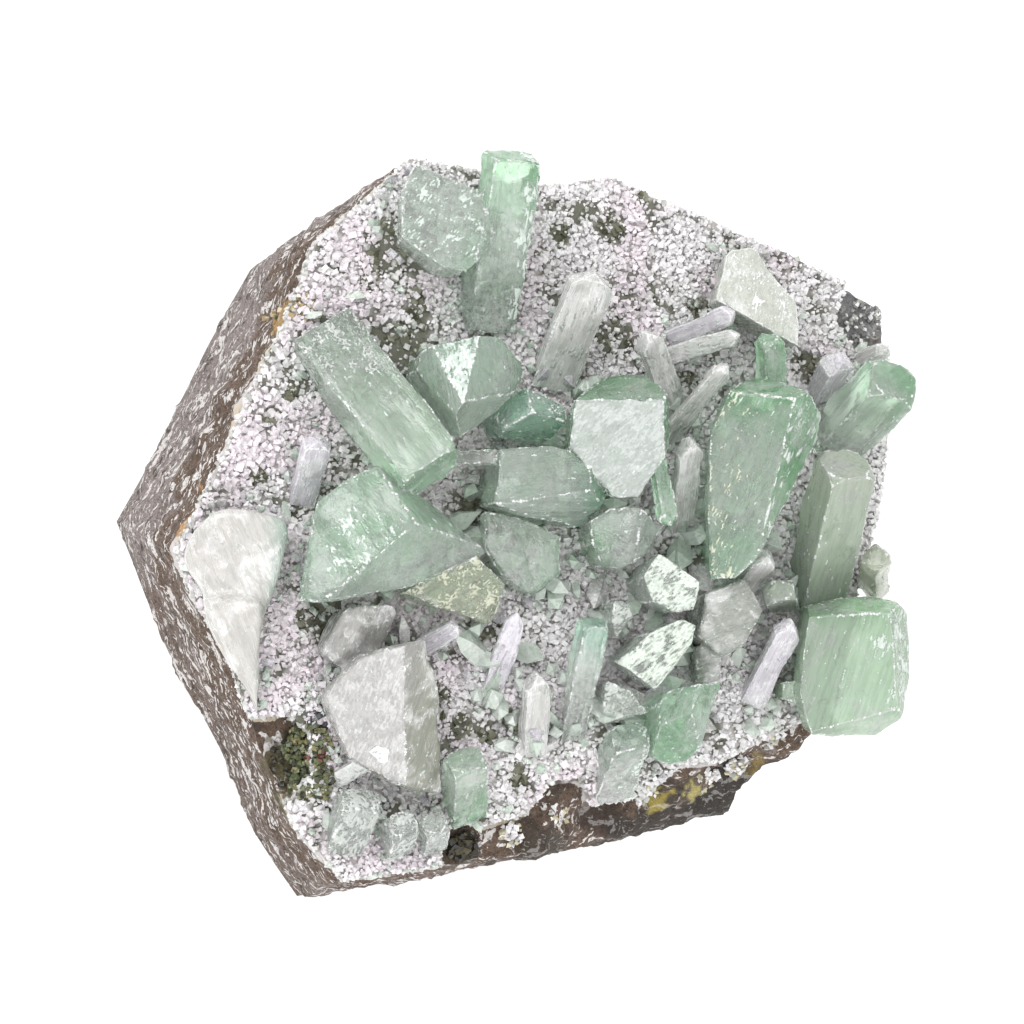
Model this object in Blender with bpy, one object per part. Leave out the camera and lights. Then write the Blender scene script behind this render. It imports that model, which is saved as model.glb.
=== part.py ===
"""Apophyllite specimen: a basalt slab with a white druse crust, green apophyllite and pale stilbite crystals.

The specimen lies on its flat back. +Z is the way the crystal face looks, +X is the long side, and the
origin is the middle of the underside. Lengths below are in millimetres, turned into metres by MM.
"""
import math

import bmesh
import bpy
from mathutils import Matrix, Vector, noise

MM = 0.001
SPECIMEN = "apophyllite_specimen"

SLAB_HEIGHT = 34.0  # underside to druse surface on the left
DRUSE_THICKNESS = 1.8
FIT_GAP = 0.3  # left between touching pieces
RELIEF_CELL = 4.6  # grid of the lumpy druse surface
RELIEF_HALF_SIDE = 64.4
SIDE_LEVELS = (0.0, 0.07, 0.3, 0.55, 0.8, 1.0, 1.25)  # rings of the slab's sides, as shares of its height
SIDE_PIECES = 2  # stretches of side between two outline corners
SIDE_ROUGHNESS = 0.45
BACK_ROUGHNESS = 1.1

# The slab's corners, anticlockwise from the top: (x, y) at the underside, then (x, y, z) at the rim.
SLAB_CORNERS = [
    ((-19.5, 51.0), (-20.0, 51.0, 34.0)),
    ((-34.5, 40.0), (-33.5, 38.5, 34.0)),
    ((-41.0, 28.0), (-38.0, 26.5, 34.0)),
    ((-47.5, 14.5), (-44.0, 14.0, 34.0)),
    ((-54.0, 2.5), (-52.0, -3.5, 34.0)),
    ((-49.5, -8.5), (-50.5, -8.5, 34.0)),
    ((-44.5, -19.5), (-45.5, -17.0, 34.0)),
    ((-38.0, -31.0), (-40.0, -31.0, 34.0)),
    ((-33.5, -42.0), (-36.0, -40.0, 34.0)),
    ((-27.0, -51.5), (-29.5, -47.0, 34.0)),
    ((-11.5, -49.5), (-12.0, -45.0, 34.0)),
    ((4.0, -46.5), (1.5, -43.5, 30.0)),
    ((19.0, -43.5), (17.0, -42.0, 25.0)),
    ((31.0, -39.5), (30.0, -39.5, 24.0)),
    ((33.0, -34.5), (32.0, -35.0, 26.0)),
    ((42.0, -27.0), (41.5, -28.0, 31.0)),
    ((44.5, -14.0), (45.0, -14.0, 32.0)),
    ((48.5, 2.0), (50.0, 1.0, 32.0)),
    ((51.0, 20.0), (53.9, 21.0, 32.5)),
    ((48.5, 33.0), (52.0, 34.5, 32.0)),
    ((33.0, 39.5), (35.0, 41.5, 32.5)),
    ((21.0, 43.5), (20.5, 46.0, 32.5)),
    ((10.0, 47.5), (8.5, 50.0, 33.0)),
    ((-1.0, 45.5), (-2.0, 48.0, 33.0)),
]
FIRST_HIDDEN_CORNER = 13  # corners from here to the end have the rougher break

# Where the druse covers the rock, (x, y). It leaves bare the lower right slope, the top right corner,
# a green notch on the left rim and a pit in the lower rim.
DRUSE_OUTLINE = [
    (-62, 62), (46, 62), (45.5, 36.5), (44.0, 31.5), (47.5, 27.5), (62, 25),
    (62, -21), (38.5, -26.0), (33.0, -28.5), (27.0, -31.5), (20.0, -32.0), (15.5, -36.5),
    (7.5, -37.5), (5.0, -33.5), (0.0, -34.0), (-3.5, -38.5), (-9.5, -40.0), (-14.5, -39.5),
    (-16.0, -43.0), (-15.0, -62), (-62, -62), (-62, -37.5), (-36.5, -36.5), (-33.5, -33.0),
    (-34.0, -27.5), (-37.0, -25.0), (-62, -26.5),
]

UP = Vector((0, 0, 1))
NORTH = Vector((0, 1, 0))

BASALT = ("basalt", (0.20, 0.16, 0.14), 0.85, 0.0)
DRUSE = ("druse_white", (0.78, 0.75, 0.78), 0.6, 0.0)
GREEN = ("apophyllite_green", (0.42, 0.58, 0.48), 0.15, 0.75)
CLEAR = ("apophyllite_clear", (0.58, 0.66, 0.60), 0.15, 0.75)
PEARL = ("stilbite_pearl", (0.80, 0.79, 0.77), 0.3, 0.2)


def clear_scene():
    for ob in list(bpy.data.objects):
        bpy.data.objects.remove(ob, do_unlink=True)


def new_collection(name):
    group = bpy.data.collections.new(name)
    bpy.context.scene.collection.children.link(group)
    return group


def material(spec, node):
    """A Principled material of the node's own, from a (name, colour, roughness, transmission) spec."""
    name, colour, roughness, transmission = spec
    made = bpy.data.materials.new(f"{name}_{node}")
    made.use_nodes = True
    shader = made.node_tree.nodes["Principled BSDF"]
    shader.inputs["Base Color"].default_value = (*colour, 1.0)
    shader.inputs["Roughness"].default_value = roughness
    shader.inputs["Transmission Weight"].default_value = transmission
    made.diffuse_color = (*colour, 1.0)
    return made


def object_from(bm, name, group):
    bmesh.ops.recalc_face_normals(bm, faces=bm.faces)
    mesh = bpy.data.meshes.new(name)
    bm.to_mesh(mesh)
    bm.free()
    ob = bpy.data.objects.new(name, mesh)
    group.objects.link(ob)
    return ob


def as_cutter(ob):
    ob.hide_render = True
    ob.display_type = "WIRE"
    return ob


def boolean(ob, other, operation):
    step = ob.modifiers.new(f"{operation.lower()}_{other.name}", "BOOLEAN")
    step.operation = operation
    step.solver = "EXACT"
    step.object = other


def cut_away(bm, point, normal):
    """Takes off what lies beyond a plane and closes the cut with one flat face."""
    everything = bm.verts[:] + bm.edges[:] + bm.faces[:]
    cut = bmesh.ops.bisect_plane(
        bm, geom=everything, dist=0.001 * MM, plane_co=point, plane_no=normal, clear_outer=True
    )
    rim = [part for part in cut["geom_cut"] if isinstance(part, bmesh.types.BMEdge)]
    if rim:
        bmesh.ops.contextual_create(bm, geom=rim)


# ---- crystals ---------------------------------------------------------------------------------------


def crystal_frame(root, tip, turn, face_to):
    """Where a crystal stands: X its width, Y its depth, Z from root to tip, with its broad face to face_to."""
    along = (tip - root).normalized()
    depth = (face_to - along * face_to.dot(along)).normalized()
    width = depth.cross(along)
    rows = Matrix((width, depth, along)).transposed().to_4x4()
    return Matrix.Translation(root) @ rows @ Matrix.Rotation(math.radians(turn), 4, "Z")


def bar(width, depth, low, high):
    bm = bmesh.new()
    bmesh.ops.create_cube(bm, size=1.0)
    bmesh.ops.scale(bm, vec=(width, depth, high - low), verts=bm.verts)
    bmesh.ops.translate(bm, vec=(0, 0, (low + high) / 2), verts=bm.verts)
    return bm


def prism(root, tip, width, depth, corner=1.0, slope=45, turn=0, face_to=UP, sink=2.0):
    """A square tetragonal crystal whose end has a small pyramid face on each corner."""
    root, tip = Vector(root) * MM, Vector(tip) * MM
    half_w, half_d = width * MM / 2, depth * MM / 2
    length = (tip - root).length
    bm = bar(2 * half_w, 2 * half_d, -sink * MM, length)
    rise = math.radians(slope)
    for side_w in (1, -1):
        for side_d in (1, -1):
            level = Vector((side_w * half_d, side_d * half_w, 0)).normalized()
            edge = Vector((side_w * half_w, side_d * half_d, length - corner * MM))
            cut_away(bm, edge, level * math.cos(rise) + UP * math.sin(rise))
    bm.transform(crystal_frame(root, tip, turn, face_to))
    return bm


def blade(root, tip, width, depth, chisel=45, bevel=35, turn=0, face_to=UP, sink=4.0):
    """A thin tabular crystal with a pointed end and thin bevels on its broad faces."""
    root, tip = Vector(root) * MM, Vector(tip) * MM
    half_d = depth * MM / 2
    length = (tip - root).length
    bm = bar(width * MM, depth * MM, -sink * MM, length)
    point, thin = math.radians(chisel), math.radians(bevel)
    for side in (1, -1):
        cut_away(bm, UP * length, Vector((side * math.sin(point), 0, math.cos(point))))
        shoulder = Vector((0, side * half_d, length - 0.8 * half_d))
        cut_away(bm, shoulder, Vector((0, side * math.cos(thin), math.sin(thin))))
    bm.transform(crystal_frame(root, tip, turn, face_to))
    return bm


def facet_plane(facet):
    """A point on a facet and the way it looks, from (x, y, z, compass direction, slope from level)."""
    x, y, z, toward, slope = facet
    toward, slope = math.radians(toward), math.radians(slope)
    looks = Vector((math.sin(slope) * math.cos(toward), math.sin(slope) * math.sin(toward), math.cos(slope)))
    return Vector((x, y, z)) * MM, looks


def hewn(outline, facets, foot=0.8, shift=(0, 0), floor=31.0):
    """A blocky crystal: walls down from its outline, narrowing to its foot, under flat facets."""
    heights = []
    for x, y in outline:
        below = []
        for facet in facets:
            point, looks = facet_plane(facet)
            away = Vector((x, y, 0)) * MM - Vector((point.x, point.y, 0))
            below.append(point.z / MM - (away.x * looks.x + away.y * looks.y) / looks.z / MM)
        heights.append(min(below))
    rim = sum(heights) / len(heights)
    top = max(facet[2] for facet in facets) + 8.0
    centre = Vector((sum(x for x, y in outline), sum(y for x, y in outline))) / len(outline)
    bm = bmesh.new()
    for level in (floor, top):
        share = (rim - level) / (rim - floor)
        size = 1.0 - (1.0 - foot) * share
        for x, y in outline:
            spot = centre + (Vector((x, y)) - centre) * size + Vector(shift) * share
            bm.verts.new(Vector((spot.x, spot.y, level)) * MM)
    hull = bmesh.ops.convex_hull(bm, input=bm.verts)
    inside = [part for part in hull["geom_interior"] if isinstance(part, bmesh.types.BMVert)]
    bmesh.ops.delete(bm, geom=inside, context="VERTS")
    for facet in facets:
        cut_away(bm, *facet_plane(facet))
    return bm


def crystal_node(name, spec, *shapes):
    """One node from crystals grown through each other, cut to the druse they stand on."""
    for step, bm in enumerate(shapes):
        bmesh.ops.dissolve_limit(bm, angle_limit=math.radians(0.5), verts=bm.verts, edges=bm.edges)
        if step == 0:
            node = object_from(bm, name, PIECES)
            node.data.materials.append(material(spec, name))
        else:
            boolean(node, as_cutter(object_from(bm, f"with_{name}_{step}", TOOLS)), "UNION")
    boolean(node, GROUND, "DIFFERENCE")
    return node


# ---- slab and druse ---------------------------------------------------------------------------------


def smooth_step(low, high, value):
    share = min(max((value - low) / (high - low), 0.0), 1.0)
    return share * share * (3 - 2 * share)


def druse_height(x, y):
    """Height of the druse surface, in millimetres."""
    height = SLAB_HEIGHT - 1.5 * smooth_step(10, 50, x)
    brink = -33.0 + 0.19 * (x - 4.0)
    height -= 0.7 * max(0.0, brink - y) * smooth_step(-2, 9, x)
    height += 1.3 * smooth_step(43, 48, x) * smooth_step(29, 34, y)
    height -= 1.6 * math.exp(-((x + 36.5) ** 2 + (y + 31.0) ** 2) / 18.0)
    height += 0.9 * noise.noise(Vector((x, y, 3.0)) / 9.0)
    height += 0.4 * noise.noise(Vector((x, y, 9.0)) / 4.5)
    return height


def relief_solid(name, above, below, group):
    """A closed solid between two lumpy levels, each an offset from the druse surface or, below, a flat."""
    bm = bmesh.new()
    cells = round(2 * RELIEF_HALF_SIDE / RELIEF_CELL)
    bmesh.ops.create_grid(bm, x_segments=cells, y_segments=cells, size=RELIEF_HALF_SIDE)
    bmesh.ops.triangulate(bm, faces=bm.faces)
    upper = bm.faces[:]
    doubled = bmesh.ops.extrude_face_region(bm, geom=upper, use_keep_orig=True)
    lower = {part for part in doubled["geom"] if isinstance(part, bmesh.types.BMVert)}
    for vert in bm.verts:
        x, y = vert.co.x, vert.co.y
        if vert not in lower:
            z = druse_height(x, y) + above
        elif below is None:
            z = -10.0
        else:
            z = druse_height(x, y) + below
        vert.co = Vector((x, y, z)) * MM
    return object_from(bm, name, group)


def slab_body():
    """The rock's sides and underside: a loft from its underside outline up past its rim."""
    stations = []
    count = len(SLAB_CORNERS)
    for index in range(count):
        foot, rim = SLAB_CORNERS[index]
        next_foot, next_rim = SLAB_CORNERS[(index + 1) % count]
        rough = BACK_ROUGHNESS if index >= FIRST_HIDDEN_CORNER else SIDE_ROUGHNESS
        for piece in range(SIDE_PIECES):
            share = piece / SIDE_PIECES
            low = Vector(foot).lerp(Vector(next_foot), share)
            high = Vector(rim).lerp(Vector(next_rim), share)
            stations.append((low, high, rough if piece else rough * 0.5))
    bm = bmesh.new()
    rings = []
    for level in SIDE_LEVELS:
        ring = []
        for low, high, rough in stations:
            spot = low.lerp(Vector((high.x, high.y)), level)
            height = high.z * level
            outward = spot.normalized()
            wobble = noise.noise(Vector((spot.x, spot.y, height)) / 7.0) * 2.0
            spot += outward * wobble * rough * (0.4 if level in (0.0, 1.0) else 1.0)
            ring.append(bm.verts.new(Vector((spot.x, spot.y, height)) * MM))
        rings.append(ring)
    around = len(stations)
    for lower, upper in zip(rings, rings[1:]):
        for index in range(around):
            after = (index + 1) % around
            bm.faces.new((lower[index], lower[after], upper[after], upper[index]))
    bm.faces.new(rings[0])
    bm.faces.new(rings[-1])
    bmesh.ops.triangulate(bm, faces=[face for face in bm.faces if len(face.verts) == 4])
    return bm


def druse_field():
    bm = bmesh.new()
    outline = [bm.verts.new(Vector((x, y, 10.0)) * MM) for x, y in DRUSE_OUTLINE]
    face = bm.faces.new(outline)
    raised = bmesh.ops.extrude_face_region(bm, geom=[face], use_keep_orig=True)
    top = [part for part in raised["geom"] if isinstance(part, bmesh.types.BMVert)]
    bmesh.ops.translate(bm, vec=(0, 0, 50.0 * MM), verts=top)
    return object_from(bm, "druse_field", TOOLS)


def make_slab():
    rock = object_from(slab_body(), "basalt_matrix", PIECES)
    rock.data.materials.append(material(BASALT, "matrix"))
    rock_top = relief_solid("rock_top", -DRUSE_THICKNESS - FIT_GAP, None, TOOLS)
    boolean(rock, as_cutter(rock_top), "INTERSECT")
    crust = relief_solid("druse_crust", 0.0, -DRUSE_THICKNESS, PIECES)
    crust.data.materials.append(material(DRUSE, "crust"))
    boolean(crust, as_cutter(object_from(slab_body(), "slab_sides", TOOLS)), "INTERSECT")
    boolean(crust, as_cutter(druse_field()), "INTERSECT")


# ---- the specimen -----------------------------------------------------------------------------------


def make_apophyllite():
    crystal_node(
        "apophyllite_top_pair", GREEN,
        hewn([(-22, 49.5), (-14, 46), (-10, 44), (-9.5, 42), (-12.5, 36.5), (-16, 34), (-19, 34.5),
              (-24.5, 38.5), (-24, 45.5)],
             [(-17.5, 42.5, 43, 100, 21), (-12.5, 41, 43.5, 5, 42)], foot=0.85, shift=(1.5, 0)),
        prism((-9.5, 30, 35), (-9, 50.5, 44), 7.2, 5.2, corner=0.6, turn=6),
    )
    crystal_node(
        "apophyllite_left_group", GREEN,
        hewn([(-36, 3), (-33.5, 4.5), (-31.5, 6), (-28, 7), (-20.5, 3.5), (-15.5, -2), (-12, -3.5),
              (-18.5, -6.5), (-25, -9), (-32.5, -10), (-38.5, -10.5), (-36.5, -3)],
             [(-30.5, -1.5, 47, 160, 34), (-23.5, -4, 46.5, -65, 47), (-23, 1.5, 47.5, 50, 53)],
             foot=0.85, shift=(2, 0)),
        prism((-32, 24.5, 35), (-21, 6.5, 46), 9.0, 7.5, corner=1.5, slope=40),
        hewn([(-23.5, -9), (-18.5, -6), (-13.5, -4), (-8.5, -7.5), (-9, -11), (-10, -13.2)],
             [(-16, -9, 40, -80, 24)]),
    )
    crystal_node(
        "apophyllite_star_face", GREEN,
        hewn([(-20, 24), (-15, 25), (-11, 25.5), (-7, 22), (-7.5, 19.5), (-9.5, 17.5), (-11, 15.5),
              (-16.5, 11.5), (-22, 21), (-21.5, 23.5)],
             [(-18, 21.5, 47.5, 145, 41), (-13.5, 21, 47.5, 10, 29), (-20, 20, 45.5, 180, 69),
              (-14.5, 15, 46.5, -55, 56)]),
    )
    crystal_node(
        "apophyllite_blue_point", GREEN,
        hewn([(-6.5, 19), (-1.5, 16.3), (-2.3, 11.8), (-10, 12.2), (-10.6, 15), (-8.1, 18.6)],
             [(-4.5, 17, 44.5, 60, 36), (-6, 13.5, 44, -90, 53), (-9, 16, 43.5, 155, 53)]),
    )
    crystal_node(
        "apophyllite_centre_group", GREEN,
        hewn([(-2.5, 10.5), (-2, 16.5), (1.5, 20), (5, 21), (8.5, 21.5), (9.5, 19), (12, 13), (10, 9),
              (8, 4), (4, 3.5)],
             [(3.5, 12.5, 51, -115, 33), (4, 18, 51.5, 100, 59), (10.5, 13, 51.5, -10, 53)],
             foot=0.72, shift=(3, 0)),
        hewn([(-11, 10.5), (-4.5, 11), (2, 9), (5, 6), (4, 3), (1, 0), (-6, 1.5), (-12, 3)],
             [(-4.5, 7.5, 46.5, 145, 15), (-2.5, 2, 44.5, -90, 52), (3, 6.5, 46, 5, 40)]),
        prism((11.5, 11.5, 44), (13, -1, 46), 2.2, 2.4, corner=3.0),
        blade((-15, 9.5, 40), (-10.5, 9.5, 43), 2.0, 1.4, chisel=20),
    )
    crystal_node(
        "apophyllite_low_green", CLEAR,
        hewn([(-12, 2), (-6, 1.0), (-1.5, -1), (-0.5, -6), (-4, -9.5), (-7.8, -7.4), (-11.5, -3)],
             [(-6, -2.5, 40.5, -105, 26)]),
    )
    crystal_node(
        "apophyllite_round_tip", GREEN,
        hewn([(2, 1), (4.5, 2.5), (8, 2.5), (12.5, 0.5), (11.3, -3.1), (7.5, -5.8), (4.5, -5.5), (2.5, -2)],
             [(6, -1, 44.5, -110, 31), (9.5, -0.5, 45, -50, 33)], foot=0.75, shift=(1, 0)),
    )
    crystal_node(
        "apophyllite_large_green", GREEN,
        hewn([(21, 19), (25, 21.5), (29.5, 19.5), (32, 17.5), (34, 15.5), (34, 12.5), (31, 7.5),
              (27, -0.5), (24.5, -4), (22, -7), (18.5, -7.5), (18, -3.5), (19.5, 4), (18.5, 13.5)],
             [(24, 9.5, 50, -165, 35), (29, 9.5, 50.5, -30, 36), (26, 19.5, 50, 100, 62)],
             foot=0.72, shift=(4, 0.5), floor=30.0),
        prism((30.5, 20, 41), (27.5, 27, 46.5), 3.6, 3.4, corner=1.2),
    )
    crystal_node(
        "apophyllite_right_tower", CLEAR,
        prism((44, 15, 35), (45.5, 21.5, 49), 7.0, 6.5, corner=1.4),
    )
    crystal_node(
        "apophyllite_right_group", GREEN,
        prism((40.5, -6.5, 34), (38, 9.5, 49), 7.0, 6.5, corner=1.4),
        hewn([(35.5, -9.5), (41.5, -8.5), (47.5, -9), (51.5, -10.5), (52, -20), (49, -26), (46.5, -28.5),
              (36, -28), (34, -22)],
             [(43.5, -15, 44.5, -130, 7), (42, -10.5, 43.5, 95, 63), (49, -16.5, 43, 0, 43),
              (43, -26.5, 42.5, -80, 45)], foot=0.85, shift=(3, 0), floor=28.0),
        prism((35, -9, 34), (31, -8, 42), 4.4, 3.0, turn=10, face_to=NORTH),
        hewn([(33.5, -20.5), (35.5, -20.5), (37.5, -22), (36.5, -23.5), (34.0, -23)],
             [(34.5, -22, 37, -120, 33)], foot=0.85, floor=29.0),
    )
    crystal_node(
        "apophyllite_yellow_block", CLEAR,
        prism((49.8, -6.9, 33), (46.2, -3.0, 41), 3.6, 3.5, corner=0.8),
    )
    crystal_node("apophyllite_clear_bar", CLEAR, prism((3, -27, 34), (3.5, -12.5, 42), 3.8, 3.4, corner=0.8))
    crystal_node("apophyllite_clear_block", CLEAR, prism((10, -34.5, 31), (9.5, -28, 40), 5.6, 4.5))
    crystal_node(
        "apophyllite_small_peak", GREEN,
        hewn([(13, -31), (13, -24), (14.5, -22), (22, -21), (20.5, -27), (18.5, -32), (16, -32.5)],
             [(14.5, -23.5, 43, 155, 54), (19.5, -24.5, 43, -25, 42), (16, -29.5, 40.5, -105, 48)],
             foot=0.75, floor=29.0),
    )
    crystal_node("apophyllite_lower_green", GREEN, prism((-12, -39.5, 32), (-15, -31, 42), 5.0, 4.2))
    crystal_node("apophyllite_rim_left", CLEAR, prism((-29.5, -43.5, 32), (-29, -36, 41), 5.2, 4.0))
    crystal_node("apophyllite_rim_middle", CLEAR, prism((-22, -43.5, 32), (-23.5, -39.5, 41), 4.0, 3.6))
    crystal_node("apophyllite_rim_right", CLEAR, prism((-17, -43.5, 32), (-18.5, -39.5, 40), 3.8, 3.4))
    shards = {
        "a": ([(11.5, -3.5), (17.5, -7), (17.5, -11), (15, -11.5), (11.5, -10), (9.8, -6.4)],
              [(13.5, -6.5, 45, -120, 28)], 0.65),
        "b": ([(7, -18), (11, -14), (15.5, -12), (17.5, -13), (17, -15.5), (12.5, -22), (9.5, -19.5)],
              [(9, -17.5, 41.5, 170, 36), (14, -16.5, 43, -150, 15)], 0.75),
        "c": ([(6, -9.5), (8.3, -10), (9.3, -12), (7, -15), (5.9, -12.5)], [(7, -12.5, 42, -100, 25)], 0.7),
        "d": ([(6, -20.5), (9.5, -22), (12.5, -25), (8.5, -26), (6, -25)], [(8.5, -23.5, 39.5, -125, 23)], 0.8),
    }
    for letter, (outline, facets, foot) in shards.items():
        crystal_node(f"apophyllite_shard_{letter}", CLEAR, hewn(outline, facets, foot=foot))


def make_stilbite():
    crystal_node(
        "stilbite_rim_mass", PEARL,
        hewn([(-52.5, -4.5), (-51.5, -1), (-48.5, 2), (-43, 2), (-38.5, 0.5), (-40, -9.5), (-42, -13),
              (-49, -11.5)],
             [(-46, -2.5, 39, -135, 19), (-43, -10.5, 38.5, -100, 22)], foot=0.95),
        hewn([(-50, -9.5), (-42, -10), (-42, -16.5), (-42.5, -22), (-41.5, -26), (-44.5, -21.5),
              (-48.5, -15.5)],
             [(-45.5, -14.5, 38, -140, 21)], foot=0.95),
    )
    crystal_node(
        "stilbite_sheaf", PEARL,
        hewn([(-34, -22), (-29.5, -17.5), (-21.5, -15.5), (-19, -23), (-17, -36), (-24, -34.5),
              (-30.5, -31), (-33.5, -24.5)],
             [(-28, -24.5, 42.5, -150, 32), (-21, -25, 43.5, -35, 22)], foot=0.88),
        hewn([(-31.5, -11), (-25, -10.5), (-24, -11.5), (-25.5, -15), (-26.5, -18.5), (-30.5, -19.5),
              (-34.5, -17), (-32, -14.5)],
             [(-29, -13, 41, -90, 26)]),
        blade((-29.5, -33, 35), (-25.5, -29.5, 42), 2.6, 2.0, chisel=40),
    )
    crystal_node(
        "stilbite_plate", PEARL,
        hewn([(22, 32.5), (24, 39.5), (25, 40.5), (28.5, 41), (30, 38.5), (34, 33), (33.5, 28.5),
              (33.4, 26.2), (26.6, 31.2), (24, 31.5)],
             [(28, 34.5, 41, 100, 24)], foot=0.9, shift=(2, 0)),
    )
    crystal_node(
        "stilbite_white_blocks", PEARL,
        hewn([(19.5, -8.5), (24.5, -6.5), (27.5, -11), (25.5, -16), (23, -17.5), (19, -14.5)],
             [(23, -12.5, 42.5, -130, 24)]),
        hewn([(20, -15.5), (23.5, -16), (24, -20.5), (20.5, -21)], [(21.5, -17.5, 38, -125, 19)], foot=0.85),
    )
    blades = [
        ("top", (0.5, 21.5, 34), (3, 35.5, 44), 6.4, 3.0, 35),
        ("left", (-35.5, 4.0, 34), (-35, 11.4, 41), 3.6, 2.4, 35),
        ("across", (-19.0, -16.1, 35), (-15.1, -13.0, 40), 2.6, 1.5, 30),
        ("pair_upper", (19.6, 28.4, 37), (23.7, 30.6, 44), 3.0, 1.6, 45),
        ("pair_lower", (17.5, 25.2, 37), (24.0, 27.2, 45), 2.6, 1.6, 45),
        ("middle", (18.3, 17.5, 34), (10.2, 27.2, 44), 3.8, 2.4, 50),
        ("behind", (17.6, 14.8, 36), (21.2, 22.8, 47), 2.6, 1.8, 50),
        ("beside", (19.3, 1.5, 34), (16, 12.5, 46), 3.8, 2.4, 50),
        ("right_upper", (41.6, 21.4, 34), (40.2, 24.9, 43), 4.4, 3.0, 40),
        ("right_edge", (48.5, 26, 33), (48.5, 27, 41), 2.6, 2.0, 40),
        ("under_green", (28.4, -7.8, 34), (28.7, -2.8, 43), 3.5, 2.4, 45),
        ("lilac", (30.5, -23, 33), (32.5, -12, 43), 3.8, 2.4, 50),
        ("cracked", (-8.5, -21.5, 34), (-7.5, -11, 42), 3.2, 1.4, 50),
        ("pale", (-2.5, -29.5, 34), (-4.5, -19.5, 41), 3.6, 2.5, 50),
    ]
    for place, root, tip, width, depth, chisel in blades:
        crystal_node(f"stilbite_blade_{place}", PEARL, blade(root, tip, width, depth, chisel=chisel))


clear_scene()
PIECES = new_collection(SPECIMEN)
TOOLS = new_collection("cutters")
GROUND = as_cutter(relief_solid("ground", FIT_GAP, None, TOOLS))
make_slab()
make_apophyllite()
make_stilbite()
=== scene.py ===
"""Looks of the apophyllite specimen: broken basalt, a crust of druse grains and glassy crystals.

Lengths below are in millimetres unless a name says otherwise; the scene itself is in metres.
"""
import math

import bmesh
import bpy
import numpy as np
from mathutils import Matrix, Vector, noise
from mathutils.bvhtree import BVHTree
from mathutils.geometry import delaunay_2d_cdt


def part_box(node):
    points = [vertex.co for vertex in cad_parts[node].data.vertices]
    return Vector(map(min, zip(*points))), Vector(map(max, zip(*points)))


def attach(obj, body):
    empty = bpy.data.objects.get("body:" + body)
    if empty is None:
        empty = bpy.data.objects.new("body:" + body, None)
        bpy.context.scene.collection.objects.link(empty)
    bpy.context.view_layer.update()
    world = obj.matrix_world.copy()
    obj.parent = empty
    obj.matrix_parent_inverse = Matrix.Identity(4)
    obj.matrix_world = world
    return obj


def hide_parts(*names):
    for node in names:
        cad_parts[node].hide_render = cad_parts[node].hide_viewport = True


MM = 0.001
TO_MM = 1000
UP = Vector((0, 0, 1))
RAY_TOP = 80  # rays that look for the ground start this high

LOOK_AT = Vector((-6.3, 2.6, 36.0))
VIEW_FROM_LEFT = 19.0
VIEW_FROM_BELOW = 4.0
VIEW_DISTANCE = 390.0

CRYSTAL_CELL = 0.45  # a cell is the side of the triangles that facets are cut into
ROCK_CELL = 0.6
CRUST_CELL = 0.75
COARSER = 6  # how many times larger the triangles of hidden facets are
ROW = 0.87  # spacing of rows in a triangular grid of 1
FOLD = 7  # degrees between facets from which they meet in an edge
DOWNWARD = -0.5  # a facet whose normal's height is below this is hidden
GROUNDED = 0.5  # crystal points nearer the ground than this are sunk into it
EMBEDDED = 0.9  # how far crystals reach down into the druse
EDGELESS = 0.25  # crystals whose worn is this much or more get no painted highlight on their edges
ETCH_AND_SHEEN_LIFT = 0.04
ETCH_AND_SHEEN_THICKNESS = 0.11
GRAINS_A_PIECE = 15000
INFILL_TRIES = 14000  # places tried for small crystals, most of them too far from the large ones
INFILL_REACH = 5.0  # small crystals grow within this distance of the large ones
STUDIO = 1.6  # how many times more light falls on the specimen than white paint needs to read white

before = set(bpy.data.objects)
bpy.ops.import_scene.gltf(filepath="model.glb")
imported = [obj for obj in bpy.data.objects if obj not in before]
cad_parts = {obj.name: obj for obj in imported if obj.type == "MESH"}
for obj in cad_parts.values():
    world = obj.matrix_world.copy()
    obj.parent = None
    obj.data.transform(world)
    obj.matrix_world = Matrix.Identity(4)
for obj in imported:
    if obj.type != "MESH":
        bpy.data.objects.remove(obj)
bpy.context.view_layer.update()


def srgb(red, green, blue):
    """Linear colour from 0 to 255 values."""
    parts = [part / 255 for part in (red, green, blue)]
    return tuple(part / 12.92 if part <= 0.04045 else ((part + 0.055) / 1.055) ** 2.4 for part in parts)


def seen(red, green, blue):
    """The paint that reads as this colour, 0 to 255, under the studio's light."""
    return tuple(part / STUDIO for part in srgb(red, green, blue))


def smooth_step(low, high, value):
    share = min(max((value - low) / (high - low), 0.0), 1.0)
    return share * share * (3 - 2 * share)


def blend(first, second, share):
    return tuple(a + (b - a) * share for a, b in zip(first, second))


# ---- material graphs ----


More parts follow.
